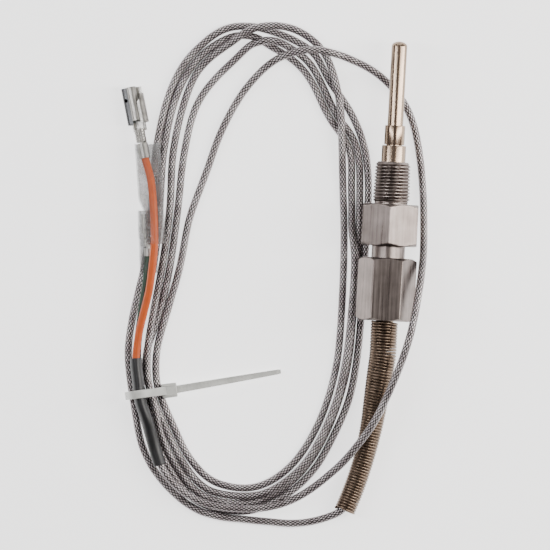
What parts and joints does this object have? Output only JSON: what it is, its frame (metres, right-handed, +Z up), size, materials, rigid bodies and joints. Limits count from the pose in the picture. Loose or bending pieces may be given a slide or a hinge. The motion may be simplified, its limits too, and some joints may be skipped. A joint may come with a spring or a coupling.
{
  "type": "thermocouple with compression fitting",
  "caption": "Sheathed thermocouple probe in a threaded compression fitting, with a spring strain relief, a coiled steel-braided cable and push-on terminals.",
  "frame": {"origin": "on the table under the middle of the rigid sensor, which is everything but the cable and what is on it", "axes": "+Y along the probe towards its tip, +Z up from the table"},
  "size_m": [0.0899, 0.1439, 0.0184],
  "materials": {
    "polished_steel": "polished stainless steel",
    "brushed_steel": "turned and milled stainless steel",
    "spring_steel": "bright drawn stainless wire",
    "steel_braid": "woven stainless wire",
    "nickel_alloy": "drawn wire",
    "ceramic": "fired alumina and cement",
    "tinned_brass": "tin plated",
    "black_sleeving": "matt heat-shrink sleeving",
    "orange_insulation": "satin lead insulation",
    "green_insulation": "satin lead insulation",
    "natural_nylon": "natural nylon, slightly translucent",
    "clear_plastic": "clear vinyl"
  },
  "bodies": {
    "sensor": {"probe_sheath": "polished_steel", "reducing_sleeve": "polished_steel", "stem_tube": "polished_steel", "hot_junction": "nickel_alloy", "thermoelement_positive": "nickel_alloy", "thermoelement_negative": "nickel_alloy", "insulator": "ceramic", "cement_seal": "ceramic", "cable_anchor": "nickel_alloy", "strain_relief_spring": "spring_steel", "cable_coil": "steel_braid", "cable_exit": "steel_braid", "cable_outer_loop": "steel_braid", "heat_shrink": "black_sleeving", "orange_lead": "orange_insulation", "green_lead": "green_insulation", "cable_tie": "natural_nylon", "orange_terminal": "tinned_brass", "green_terminal": "tinned_brass", "orange_core": "nickel_alloy", "green_core": "nickel_alloy"},
    "gripping_ferrule": {"front_ferrule": "tinned_brass"},
    "fitting": {"fitting_body": "brushed_steel"},
    "pushing_ferrule": {"back_ferrule": "tinned_brass"},
    "nut": {"compression_nut": "brushed_steel"},
    "orange_cover": {"orange_terminal_cover": "clear_plastic"},
    "green_cover": {"green_terminal_cover": "clear_plastic"}
  },
  "joints": [
    {"name": "depth_adjust", "type": "slide", "parent": "sensor", "child": "gripping_ferrule", "axis": [0, 1, 0], "range_m": [0, 0.004]},
    {"name": "body_turn", "type": "hinge", "parent": "gripping_ferrule", "child": "fitting", "pos_m": [0.00155, 0.01552, 0.00918], "axis": [0, 1, 0], "continuous": true},
    {"name": "nut_advance", "type": "slide", "parent": "gripping_ferrule", "child": "pushing_ferrule", "axis": [0, 1, 0], "range_m": [-0.003, 0.00125]},
    {"name": "nut_turn", "type": "hinge", "parent": "pushing_ferrule", "child": "nut", "pos_m": [0.00155, -0.00288, 0.00918], "axis": [0, 1, 0], "range_deg": [-1080, 450]},
    {"name": "orange_cover_slide", "type": "slide", "parent": "sensor", "child": "orange_cover", "axis": [-0.1404, 0.9796, -0.1439], "range_m": [-0.0015, 0.001]},
    {"name": "green_cover_slide", "type": "slide", "parent": "sensor", "child": "green_cover", "axis": [-0.0728, 0.9973, 0], "range_m": [-0.003, 0]}
  ],
  "couplings": [
    {"joint": "nut_advance", "follows": "nut_turn", "m_per_rad": 0.00015915}
  ]
}
